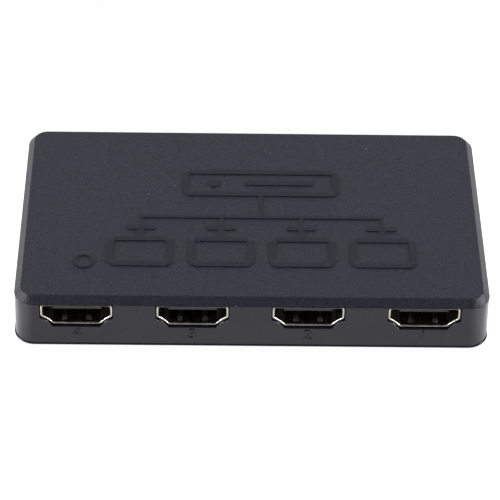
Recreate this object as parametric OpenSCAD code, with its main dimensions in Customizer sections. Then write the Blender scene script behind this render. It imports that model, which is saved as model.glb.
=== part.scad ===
// Four-way video splitter box: a shallow tray and a bevelled cover around one circuit board.
// Frame: the origin is on the table under the middle of the box, X runs along the row of
// outputs, the outputs open towards -Y, the input side faces +Y and Z is up. Millimetres.

/* [Case] */
// Overall width, along the row of outputs
case_w = 98; // [90:1:130]
// Overall depth, from the output side to the input side
case_d = 56; // [52:1:90]
// Radius of the upright corners
corner_r = 4; // [3:0.5:6]
// Thickness of the tray's upright walls
wall_t = 1.8; // [1.4:0.1:2]
// Thickness of the tray's floor
floor_t = 1.6; // [1.5:0.1:3]
// Thickness of the cover plate
cover_t = 1.7; // [1.2:0.1:3]
// How far the cover's bevel runs in from the wall
bevel_run = 1.3; // [0.5:0.1:2.5]
// How far the cover stands out over the tray's walls
cover_over = 0.12; // [0:0.04:0.2]
// How far the tray's walls lean out at the base
wall_lean = 0.25; // [0.1:0.05:0.8]
// How far the lip along the base stands out from the wall
base_lip = 0.2; // [0.05:0.05:0.4]
// Height of the lip along the base
base_lip_h = 0.4; // [0.2:0.05:0.8]
// Height of the shut line between cover and tray
shut_gap = 0.12; // [0.06:0.02:0.3]
// Depth of the shut line, in from the wall
shut_depth = 0.5; // [0.3:0.1:0.9]

/* [Cover fixing] */
// Thickness of the locating skirt under the cover
skirt_t = 1; // [0.7:0.1:1.2]
// Depth of the locating skirt below the cover
skirt_h = 1.6; // [1:0.1:2.4]
// Running gap between the skirt and the tray's wall
skirt_gap = 0.15; // [0.1:0.05:0.3]
// Gap between the skirt's ends and the sockets and jack
skirt_clear = 0.6; // [0.4:0.1:1.5]
// Diameter of a cover post, and of the boss end that meets it
post_d = 4.2; // [3.6:0.1:4.6]
// Diameter of the peg at the end of a cover post
peg_d = 2.1; // [1.6:0.1:2.6]
// Depth that a peg reaches into its boss
peg_l = 4; // [2:0.5:4.5]
// Gap around a peg in its bore
peg_gap = 0.05; // [0.03:0.01:0.1]
// Diameter of a boss below the board
boss_d = 6.4; // [5.8:0.1:7]
// Height of a boss above the board
boss_rise = 2.2; // [1.5:0.1:3]
// Gap between a boss end and its cover post
post_gap = 0.2; // [0.1:0.05:0.4]
// Distance from the tray's wall to the middle of a boss
boss_inset = 4; // [3.8:0.1:5]

/* [Board] */
// Thickness of the circuit board
board_t = 1.6; // [1:0.1:2]
// Gap between the board's edge and the tray's wall
board_gap = 0.5; // [0.3:0.1:0.9]
// Height of the board above the tray's floor
standoff_h = 1.6; // [1.5:0.1:4]
// Diameter of a board screw's shank
screw_d = 2; // [1.6:0.1:2.4]
// Diameter of a board screw's head
screw_head_d = 3.8; // [3.2:0.1:4.4]
// Height of a board screw's head
screw_head_h = 1.3; // [0.8:0.1:1.6]
// Depth that a board screw bites below the board
screw_bite = 2; // [1.5:0.1:2.2]

/* [Video sockets] */
// Distance from an end of the case to the middle of the nearest output
end_margin = 13.15; // [13:0.05:18]
// Shift of the row of outputs from the middle of the case
socket_shift = -0.35; // [-1:0.05:1]
// Place of the input along the other side
input_x = 0; // [-12:1:12]
// Width of a socket's mouth, inside its shell
mouth_w = 14; // [13.6:0.1:14.4]
// Height of a socket's mouth, inside its shell
mouth_h = 4.55; // [4.3:0.05:5]
// How far the mouth's narrow lower side steps in at each end
foot_inset = 2.4; // [2.2:0.1:2.6]
// Height at which the mouth's upright sides end
shoulder_z = 1.95; // [1.7:0.05:2.2]
// How far the kink below the shoulder steps in at each side
kink_inset = 1.35; // [1.1:0.05:1.4]
// Height of the kink
kink_z = 1.25; // [1:0.05:1.4]
// Length of the easing at each corner of the mouth
mouth_ease = 0.45; // [0.2:0.05:0.55]
// Thickness of a shell's sheet metal
shell_t = 0.3; // [0.25:0.05:0.5]
// How far the lip around a shell's mouth stands out
lip_out = 0.15; // [0.05:0.05:0.2]
// Length of the lip along the shell
lip_l = 0.4; // [0.2:0.1:0.8]
// Length of a shell from mouth to back
shell_l = 11.65; // [10:0.05:13]
// How far a shell's mouth sits behind the wall's outer face
mouth_recess = 0.45; // [0:0.05:0.8]
// Gap between a shell and the sides of its opening in the wall
socket_gap = 0.3; // [0.15:0.05:0.6]
// Extra drop of the sill below a shell
sill_drop = 0.05; // [0:0.05:0.5]
// Gap between a shell and the cover above it
head_gap = 0.4; // [0.15:0.05:0.6]
// Gap between a shell and the board below it
socket_lift = 0.45; // [0.1:0.05:0.5]
// Length along the shell of a solder leg
leg_w = 1.2; // [0.8:0.1:1.6]
// Place of the first pair of legs behind the mouth
leg_first = 3.6; // [3.6:0.1:5]
// Place of the second pair of legs behind the mouth
leg_second = 9; // [7:0.1:10]
// How far the tongue steps in at each side of the mouth
tongue_inset = 2; // [1.8:0.1:2.2]
// Thickness of the tongue
tongue_t = 1.1; // [0.9:0.05:1.3]
// Height of the tongue above the mouth's lower side
tongue_z = 2.3; // [2.1:0.05:2.5]
// How far the tongue's end sits behind the mouth
tongue_set = 1.4; // [0.8:0.1:2.4]
// Height of the flat at the tongue's end
nose_h = 0.5; // [0.3:0.05:0.7]
// Length of the slopes above and below that flat
nose_l = 0.35; // [0.2:0.05:0.5]
// Thickness of the insulator's back block
block_l = 3.4; // [2:0.1:4]
// Number of contacts in the upper row
upper_contacts = 10; // [6:1:10]
// Distance from the tongue's side to the first upper contact
contact_edge = 0.35; // [0.3:0.05:0.6]
// Width of a contact
contact_w = 0.3; // [0.2:0.02:0.34]
// Thickness of a contact
contact_t = 0.15; // [0.1:0.01:0.2]

/* [Power jack] */
// Distance from the right-hand end of the case to the middle of the jack
jack_margin = 14; // [13:0.5:18]
// Width of the jack's housing
jack_w = 6.2; // [6:0.1:7]
// Height of the jack's housing
jack_h = 5.4; // [5.2:0.1:5.6]
// Length of the jack from mouth to back
jack_l = 11; // [10.5:0.1:12]
// Outside diameter of the jack's round nose
nose_d = 5.2; // [5:0.1:5.3]
// Bore of the jack
jack_bore = 3.8; // [3.6:0.1:4]
// Depth of the bore
jack_bore_l = 9.2; // [8.6:0.1:9.6]
// Diameter of the jack's centre pin
pin_d = 1.3; // [1:0.05:1.4]
// How far the pin's end sits behind the mouth
pin_set = 1; // [0.4:0.1:1.6]
// Length of the sprung leaf
leaf_l = 5.6; // [5:0.1:6]
// Thickness of the leaf
leaf_t = 0.3; // [0.2:0.02:0.34]
// Height of the leaf
leaf_h = 1.8; // [1.4:0.1:2]
// How far the leaf bulges into the bore
leaf_bulge = 0.3; // [0.2:0.05:0.4]

/* [Power light] */
// Distance from the jack to the light pipe
light_step = 10; // [7:0.5:14]
// Diameter of the light pipe
pipe_d = 2.4; // [1.8:0.1:2.6]
// Height of the light pipe above the board
pipe_rise = 1.8; // [1.6:0.1:2.6]
// Length of the light pipe
pipe_l = 4.6; // [3.6:0.1:6]

/* [Chips] */
// Width of the splitter chip
chip_w = 10; // [8:0.5:12]
// Number of leads on one side of the splitter chip
chip_leads_side = 16; // [8:1:16]
// Spacing of the splitter chip's leads
chip_pitch = 0.5; // [0.4:0.05:0.55]
// Distance from the left-hand end of the case to the middle of the memory chip
memory_margin = 18; // [15:0.5:20]
// Distance from the left-hand end of the case to the middle of the crystal
crystal_margin = 29; // [27:0.5:33]
// Distance from the right-hand end of the case to the middle of the regulators
regulator_margin = 15; // [14:0.5:17]

/* [Hidden] */
$fn = 48;
eps = 0.01;
output_count = 4;
front_y = -case_d / 2;
rear_y = case_d / 2;

// Heights, stacked from the table up
floor_top = floor_t;
board_z = floor_top + standoff_h;
board_top = board_z + board_t;
mouth_z = board_top + socket_lift + shell_t;
shell_top = mouth_z + mouth_h + shell_t;
rim_z = shell_top + head_gap;

// Outline of the tray's base, and inside of the tray
foot_out = wall_lean + base_lip;
inner_w = case_w - 2 * wall_t;
inner_d = case_d - 2 * wall_t;
inner_r = corner_r - wall_t;
seat_gap = 0.05;
hole_gap = 0.2;
wall_over = 0.2;
cut_over = 1;

// Bosses that take the cover's pegs, and the screw bosses between them
socket_reach = mouth_recess + shell_l;
boss_clear = 1;
boss_x = inner_w / 2 - boss_inset;
boss_front_y = front_y + socket_reach + boss_d / 2 + boss_clear;
boss_rear_y = inner_d / 2 - boss_inset;
boss_top = board_top + boss_rise;
boss_places = [for (x = [-boss_x, boss_x], y = [boss_front_y, boss_rear_y]) [x, y]];
screw_y = (boss_front_y + boss_rear_y) / 2;
screw_places = [for (x = [-boss_x, boss_x]) [x, screw_y]];
screw_boss_wall = 1.6;
screw_boss_d = screw_d + 2 * screw_boss_wall;
bore_spare = 0.4;
pilot_spare = 0.3;
cross_l = 2.1;
cross_w = 0.45;
cross_depth = 0.7;

// Places along the case, tied to its ends
socket_pitch = (case_w - 2 * end_margin) / (output_count - 1);
jack_x = case_w / 2 - jack_margin;
light_x = jack_x - light_step;
memory_x = memory_margin - case_w / 2;
crystal_x = crystal_margin - case_w / 2;
regulator_x = case_w / 2 - regulator_margin;

// Widths across a socket's mouth
mouth_foot_w = mouth_w - 2 * foot_inset;
kink_w = mouth_w - 2 * kink_inset;
tongue_w = mouth_w - 2 * tongue_inset;
contact_pitch = (tongue_w - contact_w - 2 * contact_edge) / (upper_contacts - 1);

// Contacts and solder tails, in a socket's own frame
board_drop = mouth_z - board_top;
solder_reach = 0.8;
leg_reach = board_drop + board_t + solder_reach;
leg_lap = 0.6;
leg_places = [leg_first, leg_second];
contact_proud = 0.03;
contact_set = 0.1;
contact_start = tongue_set + nose_l + contact_set;
tail_set = 0.6;
tail_foot = 0.9;
tail_drop_y = shell_l + tail_set;
tail_end_y = tail_drop_y + tail_foot;
lower_contacts = upper_contacts - 1;

// Board places behind a socket, in the socket's own frame
surge_set = 1.4;
surge_y = tail_end_y + surge_set;
surge_size = [2.5, 1, 0.55];
resistor_set = 1.8;
resistor_y = surge_y + resistor_set;
chip_part = [1, 0.55, 0.5];
cap_l = 0.28;

// Jack, in its own frame with the mouth at y = 0 and the bore along y
jack_recess = 0.2;
jack_z = board_top + jack_h / 2;
jack_wall_gap = 0.3;
jack_front = wall_t - jack_recess + jack_wall_gap;
jack_notch_d = nose_d + 2 * socket_gap;
leaf_set = 0.6;
leaf_root_set = 0.5;
leaf_x = jack_bore / 2 + leaf_set;
leaf_root_y = jack_bore_l + leaf_root_set;
leaf_tip_y = leaf_root_y - leaf_l;
leaf_peak_x = jack_bore / 2 - leaf_bulge;
leaf_peak_y = leaf_tip_y + leaf_l / 3;
leaf_room = 0.25;
window_spare = 0.5;
terminal_w = 0.9;
terminal_gap = 0.1;
terminal_y = leaf_root_y + terminal_gap;
tail_reach = jack_h / 2 + board_t + solder_reach;
pin_flat_r = 0.2;
pin_step = 0.2;
pin_root_d = pin_d + 2 * pin_step;
pin_tail_w = 1;
pin_tail_t = 0.5;
pin_tail_gap = 0.2;
pin_tail_y = jack_l + pin_tail_gap;

// Light pipe and its lamp
pipe_z = board_top + pipe_rise;
pipe_flange_w = 0.4;
pipe_flange_d = pipe_d + 2 * pipe_flange_w;
pipe_flange_t = 0.6;
lamp_size = [3.2, 1.5, 2.4];
lamp_gap = 0.2;
lamp_y = rear_y - pipe_l - lamp_gap;

// Chips; a lead's sizes are its width, thickness and reach
mid_y = 0;
chip_t = 1.4;
chip_stand = 0.1;
chip_lead = [0.22, 0.13, 1];
dot_d = 0.9;
dot_inset = 1.2;
dot_depth = 0.1;
memory_size = [5, 3.9, 1.5];
memory_lead = [0.42, 0.2, 1.05];
memory_pitch = 1.27;
memory_leads_side = 4;
regulator_size = [6.5, 3.5, 1.6];
regulator_lead = [0.7, 0.26, 1.7];
regulator_tab = [3, 0.26, 1.7];
regulator_pitch = 2.3;
regulator_lead_z = 0.8;
power_y = screw_y;
power_row_step = 9;
power_rows = [power_y, power_y - power_row_step];

// Coil, crystal and smoothing capacitors
coil_step = 9;
coil_x = regulator_x - coil_step;
coil_w = 5;
coil_h = 2.6;
coil_cut = 0.8;
coil_core_d = 3.7;
coil_groove = 0.25;
crystal_size = [11, 4.6, 3.6];
crystal_rim = 0.4;
crystal_rim_h = 0.5;
can_step = 16;
can_x = regulator_x - can_step;
can_d = 5;
can_h = 4.4;
can_groove = 0.25;
can_groove_z = 0.8;
can_base_w = 5.3;
can_base_h = 0.9;
can_base_cut = 1;

// Small chip parts
chip_capacitor_set = 1.7;
chip_capacitor_step = 2.2;
chip_capacitor_side = 4;
surge_step = 5;
resistor_step = 1.5;
resistor_count = 6;

// Outline tools

// Outward normal of the edge from a to b on an outline that runs anticlockwise
function edge_normal(a, b) = [b.y - a.y, a.x - b.x] / norm(b - a);

// Outline moved outwards by g, with mitred corners
function grown(pts, g) = let (n = len(pts))
  [for (i = [0:n - 1])
    let (n1 = edge_normal(pts[(i + n - 1) % n], pts[i]), n2 = edge_normal(pts[i], pts[(i + 1) % n]))
    pts[i] + g * (n1 + n2) / (1 + n1 * n2)];

// Outline with each corner eased by a short curve that starts t away from it
function eased(pts, t, steps = 3) = let (n = len(pts))
  [for (i = [0:n - 1])
    let (q = pts[i], p = pts[(i + n - 1) % n], r = pts[(i + 1) % n],
         a = q + t * (p - q) / norm(p - q), b = q + t * (r - q) / norm(r - q))
    for (k = [0:steps]) let (s = k / steps) (1 - s) * (1 - s) * a + 2 * s * (1 - s) * q + s * s * b];

// Mouth of a video socket, wide side up, with the middle of its lower side at the origin
function mouth_corners() = [
  [-mouth_foot_w / 2, 0], [mouth_foot_w / 2, 0], [kink_w / 2, kink_z],
  [mouth_w / 2, shoulder_z], [mouth_w / 2, mouth_h], [-mouth_w / 2, mouth_h],
  [-mouth_w / 2, shoulder_z], [-kink_w / 2, kink_z]
];

function mouth_outline(g) = eased(grown(mouth_corners(), g), mouth_ease);

// Middle of output number i, counted from the right-hand end
function output_x(i) = socket_shift + ((output_count + 1) / 2 - i) * socket_pitch;

// Middle of each of n things spaced by step
function spread(n, step) = [for (i = [0:n - 1]) (i - (n - 1) / 2) * step];

// Shared shapes

// Round-cornered plate
module round_plate(w, d, r, h) {
  a = w / 2 - r;
  b = d / 2 - r;
  linear_extrude(h) {
    square([2 * a, 2 * (b + r)], center = true);
    square([2 * (a + r), 2 * b], center = true);
    for (x = [-a, a], y = [-b, b])
      translate([x, y])
        circle(r);
  }
}

// Bar along X, l long, whose half width narrows from low to high over the height h
module bevel_bar(l, low, high, h) {
  translate([-l / 2, 0, 0])
    rotate([90, 0, 90])
      linear_extrude(l)
        polygon([[-low, 0], [low, 0], [high, h], [-high, h]]);
}

// Round-cornered plate whose sides lean in by run over its height
module bevel_plate(w, d, r, h, run) {
  a = w / 2 - r;
  b = d / 2 - r;
  top_r = r - run;
  bevel_bar(2 * a, b + r, b + top_r, h);
  rotate(90)
    bevel_bar(2 * b, a + r, a + top_r, h);
  for (x = [-a, a], y = [-b, b])
    translate([x, y, 0])
      cylinder(h = h, r1 = r, r2 = top_r);
}

module at_all(places, z) {
  for (p = places)
    translate([p.x, p.y, z])
      children();
}

// Box standing on z = 0 over its own middle
module block(size) {
  translate([-size.x / 2, -size.y / 2, 0])
    cube(size);
}

// Outline in x and z, swept along y from y0 to y1
module along_y(y0, y1) {
  translate([0, y1, 0])
    rotate([90, 0, 0])
      linear_extrude(y1 - y0)
        children();
}

// Outline in y and z, swept along x over the width w about x = 0
module across_x(w) {
  translate([-w / 2, 0, 0])
    rotate([90, 0, 90])
      linear_extrude(w)
        children();
}

// A socket's own frame has its mouth at y = 0, y inwards, and z = 0 at the mouth's lower side
module at_output(i) {
  translate([output_x(i), front_y + mouth_recess, mouth_z])
    children();
}

module at_input() {
  translate([input_x, rear_y - mouth_recess, mouth_z])
    rotate(180)
      children();
}

module at_every_socket() {
  for (i = [1:output_count])
    at_output(i)
      children();
  at_input()
    children();
}

module at_jack() {
  translate([jack_x, rear_y - jack_recess, jack_z])
    rotate(180)
      children();
}

// Row of gull-wing leads that leave a chip's side at y = side, at height z, and stand on z = 0
module lead_row(places, side, z, lead) {
  t = lead.y;
  reach = lead.z;
  knee = side + reach / 3;
  for (x = places)
    translate([x, 0, 0])
      across_x(lead.x)
        polygon([
          [side, z + t], [knee + t, z + t], [knee + t, t], [side + reach, t],
          [side + reach, 0], [knee, 0], [knee, z], [side, z]
        ]);
}

// Case

module top_cover() {
  color([0.25, 0.25, 0.28]) {
    translate([0, 0, rim_z + shut_gap])
      bevel_plate(case_w + 2 * cover_over, case_d + 2 * cover_over, corner_r + cover_over,
        cover_t - shut_gap, bevel_run + cover_over);
    translate([0, 0, rim_z])
      round_plate(case_w - 2 * shut_depth, case_d - 2 * shut_depth, corner_r - shut_depth, shut_gap);
    cover_skirt();
    at_all(boss_places, boss_top + post_gap)
      cylinder(h = rim_z - boss_top - post_gap, d = post_d);
    at_all(boss_places, boss_top - peg_l)
      cylinder(h = peg_l + post_gap, d = peg_d);
  }
}

module cover_skirt() {
  w = inner_w - 2 * skirt_gap;
  d = inner_d - 2 * skirt_gap;
  r = inner_r - skirt_gap;
  clear_w = mouth_w + 2 * shell_t + 2 * skirt_clear;
  jack_clear_w = max(jack_w, nose_d) + 2 * skirt_clear;
  difference() {
    translate([0, 0, rim_z - skirt_h])
      round_plate(w, d, r, skirt_h);
    translate([0, 0, rim_z - skirt_h - eps])
      round_plate(w - 2 * skirt_t, d - 2 * skirt_t, r - skirt_t, skirt_h + eps);
    at_every_socket()
      translate([-clear_w / 2, 0, 0])
        cube([clear_w, socket_reach, rim_z - mouth_z]);
    at_jack()
      translate([-jack_clear_w / 2, 0, 0])
        cube([jack_clear_w, jack_l, rim_z - jack_z]);
  }
}

module bottom_tray() {
  color([0.24, 0.24, 0.26])
    difference() {
      union() {
        tray_shell();
        at_all(boss_places, floor_top - eps) {
          cylinder(h = board_z - floor_top + eps, d = boss_d);
          cylinder(h = boss_top - floor_top + eps, d = post_d);
        }
        at_all(screw_places, floor_top - eps)
          cylinder(h = board_z - floor_top + eps, d = screw_boss_d);
      }
      at_all(boss_places, boss_top - peg_l - bore_spare)
        cylinder(h = peg_l + bore_spare + cut_over, d = peg_d + 2 * peg_gap);
      at_all(screw_places, board_z - screw_bite - pilot_spare)
        cylinder(h = screw_bite + pilot_spare + cut_over, d = screw_d + 2 * seat_gap);
      at_every_socket()
        socket_opening();
      at_jack()
        jack_opening();
      translate([light_x, rear_y + cut_over, pipe_z])
        rotate([90, 0, 0])
          cylinder(h = wall_t + 2 * cut_over, d = pipe_d + 2 * seat_gap);
    }
}

module tray_shell() {
  difference() {
    union() {
      bevel_plate(case_w + 2 * wall_lean, case_d + 2 * wall_lean, corner_r + wall_lean, rim_z, wall_lean);
      round_plate(case_w + 2 * foot_out, case_d + 2 * foot_out, corner_r + foot_out, base_lip_h);
    }
    translate([0, 0, floor_top])
      round_plate(inner_w, inner_d, inner_r, rim_z);
  }
}

// Opening in a wall around a socket's shell, open at the top, in the socket's frame
module socket_opening() {
  along_y(-mouth_recess - cut_over, wall_t - mouth_recess + wall_over) {
    polygon(grown(mouth_corners(), shell_t + socket_gap));
    translate([0, -sill_drop])
      polygon(grown(mouth_corners(), shell_t + socket_gap));
    translate([-mouth_w / 2 - shell_t - socket_gap, mouth_h])
      square([mouth_w + 2 * shell_t + 2 * socket_gap, rim_z - mouth_z]);
  }
}

// Opening in the wall around the jack's nose, open at the top, in the jack's frame
module jack_opening() {
  along_y(-jack_recess - cut_over, wall_t - jack_recess + wall_over) {
    circle(d = jack_notch_d);
    translate([-jack_notch_d / 2, 0])
      square([jack_notch_d, rim_z - jack_z + cut_over]);
  }
}

// Board

module circuit_board() {
  color([0.05, 0.3, 0.16])
    difference() {
      translate([0, 0, board_z])
        round_plate(inner_w - 2 * board_gap, inner_d - 2 * board_gap, inner_r - board_gap, board_t);
      at_all(boss_places, board_z - cut_over)
        cylinder(h = board_t + 2 * cut_over, d = post_d + 2 * hole_gap);
      at_all(screw_places, board_z - cut_over)
        cylinder(h = board_t + 2 * cut_over, d = screw_d + 2 * hole_gap);
      at_every_socket()
        leg_boxes(hole_gap, board_drop + board_t + cut_over);
      at_jack()
        jack_tail_boxes(hole_gap, jack_h / 2 + board_t + cut_over);
    }
}

module board_screws() {
  color([0.7, 0.7, 0.68])
    at_all(screw_places, board_top)
      difference() {
        union() {
          cylinder(h = screw_head_h, d = screw_head_d);
          translate([0, 0, -board_t - screw_bite])
            cylinder(h = board_t + screw_bite + eps, d = screw_d);
        }
        for (a = [0, 90])
          rotate(a)
            translate([0, 0, screw_head_h - cross_depth])
              block([cross_l, cross_w, screw_head_h]);
      }
}

// Video sockets, each in its own frame

// The four solder legs of a shell, grown by g, down to depth
module leg_boxes(g, depth) {
  for (x = [-1, 1], y = leg_places)
    translate([x * (mouth_w / 2 + shell_t / 2), y, -depth])
      block([shell_t + 2 * g, leg_w + 2 * g, depth + shoulder_z + leg_lap]);
}

module socket_shell() {
  color([0.72, 0.71, 0.68]) {
    difference() {
      union() {
        along_y(0, shell_l)
          polygon(mouth_outline(shell_t));
        along_y(0, lip_l)
          polygon(mouth_outline(shell_t + lip_out));
      }
      along_y(-cut_over, shell_l + cut_over)
        polygon(mouth_outline(0));
    }
    leg_boxes(0, leg_reach);
  }
}

// Side view of the tongue, in y and z, with a blunt end between two slopes
function tongue_side() = let (
    root = shell_l - block_l + eps,
    top = tongue_z + tongue_t,
    slope = (tongue_t - nose_h) / 2)
  [
    [tongue_set + nose_l, tongue_z], [root, tongue_z], [root, top], [tongue_set + nose_l, top],
    [tongue_set, top - slope], [tongue_set, tongue_z + slope]
  ];

module socket_insulator() {
  color([0.06, 0.06, 0.06])
    difference() {
      union() {
        along_y(shell_l - block_l, shell_l)
          polygon(mouth_outline(-seat_gap));
        across_x(tongue_w)
          polygon(tongue_side());
      }
      contact_rows()
        translate([-contact_w / 2, contact_start, -contact_t])
          cube([contact_w, shell_l, contact_t]);
    }
}

// Places of the contacts, each with z = 0 at its upper face
module contact_rows() {
  for (x = spread(upper_contacts, contact_pitch))
    translate([x, 0, tongue_z + tongue_t + contact_proud])
      children();
  for (x = spread(lower_contacts, contact_pitch))
    translate([x, 0, tongue_z + contact_t - contact_proud])
      children();
}

module socket_contacts() {
  color([0.8, 0.65, 0.3]) {
    for (x = spread(upper_contacts, contact_pitch))
      socket_contact(x, tongue_z + tongue_t + contact_proud);
    for (x = spread(lower_contacts, contact_pitch))
      socket_contact(x, tongue_z + contact_t - contact_proud);
  }
}

// One contact with its upper face at z, bent down behind the insulator to a foot on the board
module socket_contact(x, z) {
  t = contact_t;
  translate([x, 0, 0])
    across_x(contact_w)
      polygon([
        [contact_start, z], [tail_drop_y, z], [tail_drop_y, t - board_drop], [tail_end_y, t - board_drop],
        [tail_end_y, -board_drop], [tail_drop_y - t, -board_drop], [tail_drop_y - t, z - t],
        [contact_start, z - t]
      ]);
}

// Power jack, in its own frame

module jack_housing() {
  color([0.07, 0.07, 0.08])
    difference() {
      union() {
        along_y(0, jack_front + eps)
          circle(d = nose_d);
        translate([-jack_w / 2, jack_front, -jack_h / 2])
          cube([jack_w, jack_l - jack_front, jack_h]);
      }
      along_y(-cut_over, jack_bore_l)
        circle(d = jack_bore);
      along_y(jack_bore_l - cut_over, jack_l + cut_over)
        circle(d = pin_root_d + 2 * seat_gap);
      translate([0, leaf_tip_y - window_spare, -leaf_h / 2 - leaf_room])
        cube([jack_w, terminal_y - leaf_tip_y + window_spare, leaf_h + 2 * leaf_room]);
      translate([leaf_x - seat_gap, terminal_y - eps, -jack_h])
        cube([leaf_t + 2 * seat_gap, terminal_w + seat_gap, jack_h + leaf_h / 2 + seat_gap]);
    }
}

module jack_pin() {
  tip = pin_d / 2 - pin_flat_r;
  color([0.75, 0.74, 0.7]) {
    along_y(pin_set + tip, jack_bore_l)
      circle(d = pin_d);
    along_y(jack_bore_l, pin_tail_y + pin_tail_t)
      circle(d = pin_root_d);
    translate([0, pin_set + tip, 0])
      rotate([90, 0, 0])
        cylinder(h = tip, r1 = pin_d / 2, r2 = pin_flat_r);
    translate([-pin_tail_w / 2, pin_tail_y, -tail_reach])
      cube([pin_tail_w, pin_tail_t, tail_reach]);
  }
}

// Sprung arm that presses on a plug's sleeve, hinged at its root
module jack_leaf() {
  color([0.8, 0.66, 0.34])
    translate([0, 0, -leaf_h / 2])
      linear_extrude(leaf_h)
        polygon([
          [leaf_x, leaf_root_y], [leaf_peak_x, leaf_peak_y], [leaf_x, leaf_tip_y],
          [leaf_x + leaf_t, leaf_tip_y], [leaf_peak_x + leaf_t, leaf_peak_y], [leaf_x + leaf_t, leaf_root_y]
        ]);
}

module jack_terminal() {
  color([0.75, 0.74, 0.7])
    translate([leaf_x, terminal_y, -tail_reach])
      cube([leaf_t, terminal_w, tail_reach + leaf_h / 2]);
}

// Space for the jack's two tails, grown by g, down to depth
module jack_tail_boxes(g, depth) {
  translate([-pin_tail_w / 2 - g, pin_tail_y - g, -depth])
    cube([pin_tail_w + 2 * g, pin_tail_t + 2 * g, depth]);
  translate([leaf_x - g, terminal_y - g, -depth])
    cube([leaf_t + 2 * g, terminal_w + 2 * g, depth]);
}

// Power light

module light_pipe() {
  color([0.85, 0.88, 0.9])
    translate([light_x, rear_y, pipe_z])
      rotate([90, 0, 0]) {
        cylinder(h = pipe_l, d = pipe_d);
        translate([0, 0, wall_t])
          cylinder(h = pipe_flange_t, d = pipe_flange_d);
      }
}

module power_led() {
  color([0.9, 0.88, 0.8])
    translate([light_x, lamp_y - lamp_size.y / 2, board_top])
      block(lamp_size);
}

// Chips

module at_chip() {
  translate([0, mid_y, board_top])
    children();
}

module splitter_chip() {
  color([0.1, 0.1, 0.11])
    at_chip()
      translate([0, 0, chip_stand])
        difference() {
          block([chip_w, chip_w, chip_t]);
          translate([dot_inset - chip_w / 2, dot_inset - chip_w / 2, chip_t - dot_depth])
            cylinder(h = cut_over, d = dot_d);
        }
}

module splitter_chip_leads() {
  color([0.75, 0.75, 0.74])
    at_chip()
      for (a = [0, 90, 180, 270])
        rotate(a)
          lead_row(spread(chip_leads_side, chip_pitch), chip_w / 2, chip_stand + chip_t / 2, chip_lead);
}

module memory_chip() {
  color([0.1, 0.1, 0.11])
    translate([memory_x, mid_y, board_top + chip_stand])
      block(memory_size);
}

module memory_chip_leads() {
  color([0.75, 0.75, 0.74])
    translate([memory_x, mid_y, board_top])
      for (a = [0, 180])
        rotate(a)
          lead_row(spread(memory_leads_side, memory_pitch), memory_size.y / 2,
                   chip_stand + memory_size.z / 2, memory_lead);
}

module at_regulators() {
  for (y = power_rows)
    translate([regulator_x, y, board_top])
      children();
}

module regulators() {
  color([0.1, 0.1, 0.11])
    at_regulators()
      translate([0, 0, chip_stand])
        block(regulator_size);
}

module regulator_leads() {
  color([0.75, 0.75, 0.74])
    at_regulators() {
      rotate(180)
        lead_row(spread(3, regulator_pitch), regulator_size.y / 2, regulator_lead_z, regulator_lead);
      lead_row([0], regulator_size.y / 2, regulator_lead_z, regulator_tab);
    }
}

module surge_arrays() {
  color([0.12, 0.12, 0.13])
    at_every_socket()
      for (x = spread(2, surge_step))
        translate([x, surge_y, -board_drop])
          block(surge_size);
}

// Coil, crystal and smoothing capacitors

module power_coil() {
  cut = coil_cut;
  h = coil_w / 2;
  color([0.3, 0.3, 0.31])
    translate([coil_x, power_y, board_top])
      difference() {
        linear_extrude(coil_h)
          polygon([
            [cut - h, -h], [h - cut, -h], [h, cut - h], [h, h - cut],
            [h - cut, h], [cut - h, h], [-h, h - cut], [-h, cut - h]
          ]);
        translate([0, 0, coil_h - coil_groove])
          difference() {
            cylinder(h = cut_over, d = coil_core_d + 2 * coil_groove);
            translate([0, 0, -cut_over])
              cylinder(h = 3 * cut_over, d = coil_core_d);
          }
      }
}

module pill(size) {
  r = size.y / 2;
  block([size.x - size.y, size.y, size.z]);
  for (x = [-1, 1])
    translate([x * (size.x / 2 - r), 0, 0])
      cylinder(h = size.z, r = r);
}

module crystal() {
  color([0.78, 0.78, 0.76])
    translate([crystal_x, mid_y, board_top])
      rotate(90) {
        pill([crystal_size.x, crystal_size.y, crystal_rim_h]);
        pill([crystal_size.x - 2 * crystal_rim, crystal_size.y - 2 * crystal_rim, crystal_size.z]);
      }
}

module at_cans() {
  for (y = power_rows)
    translate([can_x, y, board_top])
      children();
}

module capacitor_cans() {
  r = can_d / 2;
  g = can_groove;
  color([0.75, 0.75, 0.74])
    at_cans()
      translate([0, 0, can_base_h])
        rotate_extrude()
          polygon([
            [0, 0], [r, 0], [r, can_groove_z - g], [r - g, can_groove_z], [r, can_groove_z + g],
            [r, can_h - g], [r - g, can_h], [0, can_h]
          ]);
}

module capacitor_bases() {
  cut = can_base_cut;
  w = can_base_w / 2;
  color([0.1, 0.1, 0.1])
    at_cans()
      linear_extrude(can_base_h)
        polygon([[cut - w, -w], [w - cut, -w], [w, cut - w], [w, w], [-w, w], [-w, cut - w]]);
}

// Small chip parts: capacitors round the splitter chip, resistors behind each socket

module at_chip_capacitors() {
  at_chip()
    for (a = [0, 90, 180, 270], x = spread(chip_capacitor_side, chip_capacitor_step))
      rotate(a)
        translate([x, chip_w / 2 + chip_capacitor_set, 0])
          children();
}

module at_chip_resistors() {
  at_every_socket()
    for (x = spread(resistor_count, resistor_step))
      translate([x, resistor_y, -board_drop])
        rotate(90)
          children();
}

module chip_part_ends() {
  for (x = [-1, 1])
    translate([x * (chip_part.x + cap_l) / 2, 0, 0])
      block([cap_l, chip_part.y, chip_part.z]);
}

module chip_capacitors() {
  color([0.6, 0.5, 0.38])
    at_chip_capacitors()
      block(chip_part);
}

module chip_resistors() {
  color([0.1, 0.1, 0.1])
    at_chip_resistors()
      block(chip_part);
}

module chip_end_caps() {
  color([0.75, 0.75, 0.74]) {
    at_chip_capacitors()
      chip_part_ends();
    at_chip_resistors()
      chip_part_ends();
  }
}

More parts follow.
